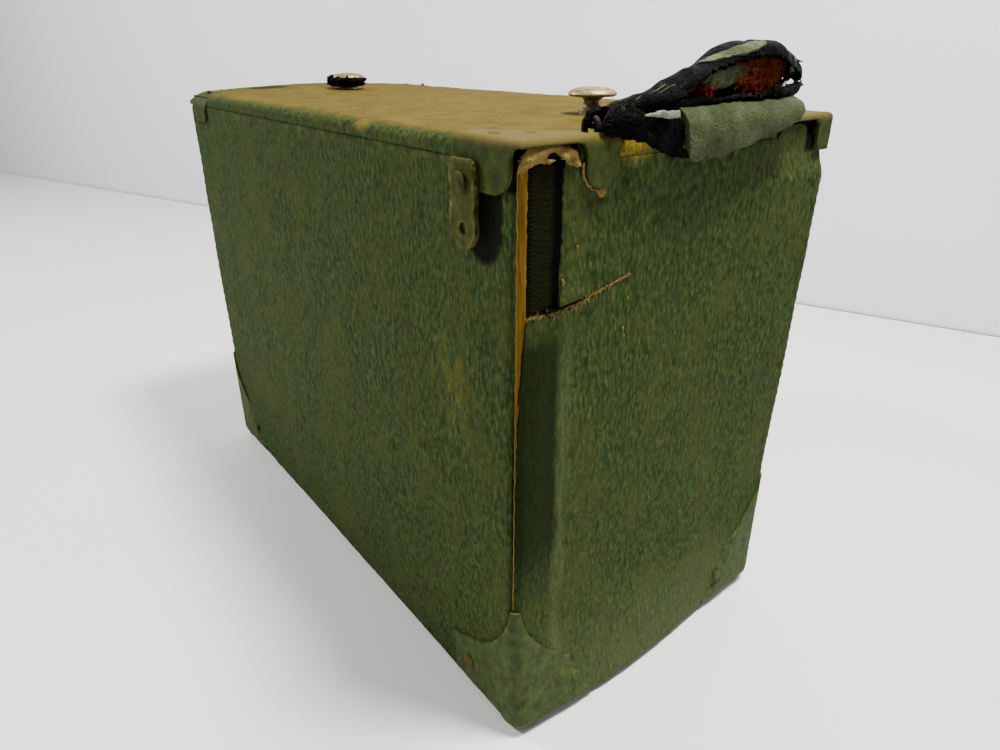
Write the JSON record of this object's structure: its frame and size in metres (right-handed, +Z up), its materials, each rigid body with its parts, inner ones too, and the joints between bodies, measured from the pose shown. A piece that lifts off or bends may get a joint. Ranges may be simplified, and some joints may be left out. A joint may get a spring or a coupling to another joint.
{
  "type": "sheet film holder carrying case",
  "caption": "Leathercloth-covered wooden case for sheet film holders: hinged lid with corner irons, swinging hasps, handle studs and a torn leather handle.",
  "frame": {"origin": "on the floor, below the middle of the case", "axes": "+X along the case towards the end with the hasps, +Y from front to back, +Z up"},
  "size_m": [0.2074, 0.1068, 0.1644],
  "materials": {
    "side_board": "bare softwood board",
    "end_board": "bare softwood board, worn and brown where it shows",
    "floor_wood": "bare softwood board",
    "inner_wood": "planed softwood",
    "divider_wood": "thin plywood",
    "lid_wood": "thin board",
    "green_leathercloth": "grey-green pebbled leathercloth, mottled, matt",
    "end_leathercloth": "grey-green pebbled leathercloth with upright creases",
    "bottom_leathercloth": "grey-green leathercloth, scuffed",
    "black_tape": "blackened cloth tape",
    "green_iron": "thin dark green paint, worn and rusty at the edges",
    "green_hasp": "thin green paint, brassy at the worn end",
    "rusty_rivet": "rust brown",
    "nail_steel": "dull",
    "dark_lining": "dark cotton lining",
    "felt": "dark red felt",
    "hinge_brass": "tarnished",
    "screw_brass": "dull",
    "pin_steel": "dull",
    "dusty_leathercloth": "faded tan leathercloth under dust",
    "stud_nickel": "dull yellowed nickel",
    "black_leather": "cracked black leather",
    "grey_green_leather": "grey-green leather back",
    "stiffener": "grey-green strip",
    "frayed_padding": "orange-red frayed fibre",
    "staple_wire": "dull wire"
  },
  "bodies": {
    "case": {"front_wall": "side_board", "back_wall": "side_board", "right_end_wall": "end_board", "left_end_wall": "end_board", "floor_board": "floor_wood", "corner_blocks": "inner_wood", "wrap_cover": "green_leathercloth", "right_end_cover": "end_leathercloth", "joint_tape": "black_tape", "bottom_cover": "bottom_leathercloth", "bottom_corner_front_right": "green_iron", "bottom_corner_back_right": "green_iron", "bottom_corner_front_left": "green_iron", "bottom_corner_back_left": "green_iron", "bottom_corner_rivets": "rusty_rivet", "front_lining": "dark_lining", "back_lining": "dark_lining", "right_lining": "dark_lining", "left_lining": "dark_lining", "floor_pad": "felt", "divider_battens": "inner_wood", "divider_board": "divider_wood", "hinge_box_leaves": "hinge_brass", "hinge_pins": "pin_steel", "hinge_box_screws": "screw_brass", "stop_nail": "screw_brass"},
    "lid": {"lid_board": "lid_wood", "lid_cover": "dusty_leathercloth", "lid_lining": "dark_lining", "lid_side_battens": "inner_wood", "lid_end_battens": "inner_wood", "lid_corner_front_right": "green_iron", "lid_corner_back_right": "green_iron", "lid_corner_front_left": "green_iron", "lid_corner_back_left": "green_iron", "lid_corner_nails": "nail_steel", "hinge_lid_leaves": "hinge_brass", "hinge_lid_screws": "screw_brass", "handle_stud_right": "stud_nickel", "handle_stud_left": "stud_nickel", "stud_washers": "pin_steel", "stud_nuts": "pin_steel", "strap_remnant": "black_leather", "end_flap": "grey_green_leather", "flap_tacks": "nail_steel", "handle_staple": "staple_wire", "hasp_pivot_front": "rusty_rivet", "hasp_pivot_back": "rusty_rivet"},
    "hasp_front": {"hasp_front": "green_hasp"},
    "hasp_back": {"hasp_back": "green_hasp"},
    "handle": {"handle_leather": "black_leather", "handle_padding": "frayed_padding", "handle_strip": "stiffener"}
  },
  "joints": [
    {"name": "lid_hinge", "type": "hinge", "parent": "case", "child": "lid", "pos_m": [-0.102, 0, 0.14405], "axis": [0, -1, 0], "range_deg": [0, 110]},
    {"name": "hasp_front_swing", "type": "hinge", "parent": "lid", "child": "hasp_front", "pos_m": [0.0848, -0.0513, 0.1402], "axis": [0, -1, 0], "range_deg": [-85, 85]},
    {"name": "hasp_back_swing", "type": "hinge", "parent": "lid", "child": "hasp_back", "pos_m": [0.0848, 0.0513, 0.1402], "axis": [0, 1, 0], "range_deg": [-85, 85]},
    {"name": "handle_lift", "type": "hinge", "parent": "lid", "child": "handle", "pos_m": [0.095, -0.0285, 0.1511], "axis": [1, 0, 0], "range_deg": [0, 95]}
  ]
}
